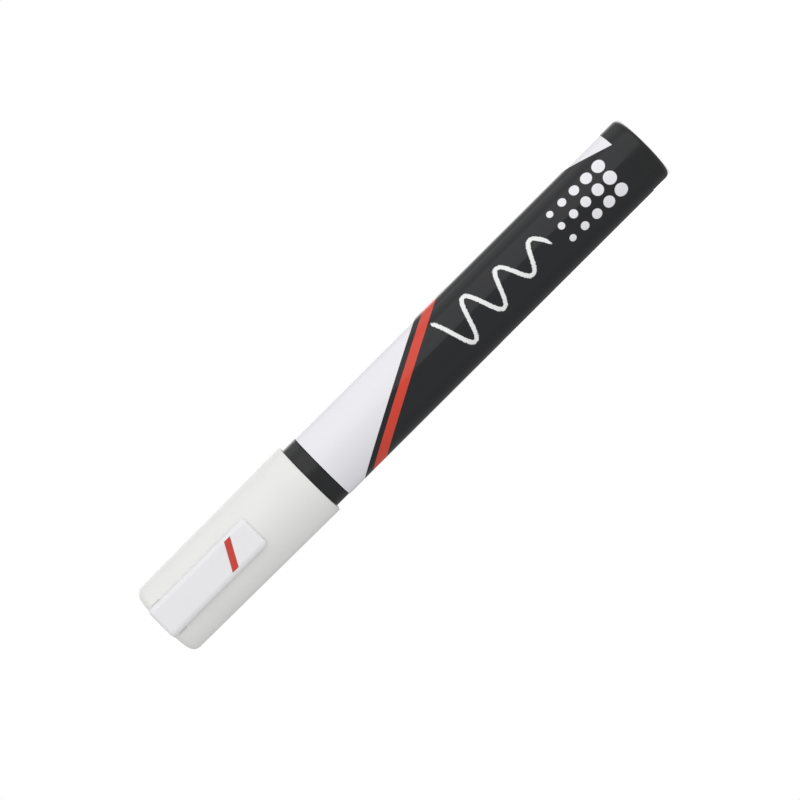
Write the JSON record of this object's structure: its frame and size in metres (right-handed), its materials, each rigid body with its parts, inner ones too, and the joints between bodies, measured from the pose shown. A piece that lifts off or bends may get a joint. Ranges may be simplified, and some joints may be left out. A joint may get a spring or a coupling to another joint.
{
  "type": "liquid chalk marker",
  "caption": "Capped round marker with a pocket clip, a bullet nib on a spring-closed valve, a printed film round its ink barrel and a loose mixing ball.",
  "frame": {"origin": "centre of the flat tail face, which the marker stands on", "axes": "+Z along the marker's axis from the tail to the closed end of the cap; the pocket clip faces -Y"},
  "size_m": [0.018, 0.0192, 0.14],
  "materials": {
    "cap_plastic": "satin moulded white",
    "black_plastic": "glossy moulded black",
    "printed_film": "glossy printed film, black on white",
    "holder_plastic": "satin moulded white",
    "natural_plastic": "milky moulded",
    "nib_fibre": "pressed fibre",
    "seal_rubber": "matt",
    "spring_steel": "drawn wire",
    "ball_steel": "ground ball"
  },
  "bodies": {
    "barrel_unit": {"barrel": "black_plastic", "tail_plug": "black_plastic", "label_film": "printed_film", "front_section": "black_plastic", "nib_holder": "holder_plastic", "valve_seat": "seal_rubber", "valve_cage": "natural_plastic", "valve_spring": "spring_steel"},
    "cap": {"cap_shell": "cap_plastic", "inner_cap": "natural_plastic"},
    "clip": {"pocket_clip": "cap_plastic"},
    "nib_unit": {"nib": "nib_fibre", "valve_rod": "natural_plastic"},
    "ball": {"mixing_ball": "ball_steel"}
  },
  "joints": [
    {"name": "cap_pull", "type": "slide", "parent": "barrel_unit", "child": "cap", "axis": [0, 0, 1], "range_m": [0, 0.045]},
    {"name": "clip_lift", "type": "hinge", "parent": "cap", "child": "clip", "pos_m": [0, -0.0079, 0.14], "axis": [-1, 0, 0], "range_deg": [0, 3], "stiffness_Nm_per_rad": 0.2},
    {"name": "nib_press", "type": "slide", "parent": "barrel_unit", "child": "nib_unit", "axis": [0, 0, -1], "range_m": [0, 0.002], "stiffness_N_per_m": 500, "springref_m": -0.002, "deforming": ["valve_spring"]},
    {"name": "ball_rattle", "type": "slide", "parent": "barrel_unit", "child": "ball", "axis": [0, 0, 1], "range_m": [0, 0.072]}
  ]
}
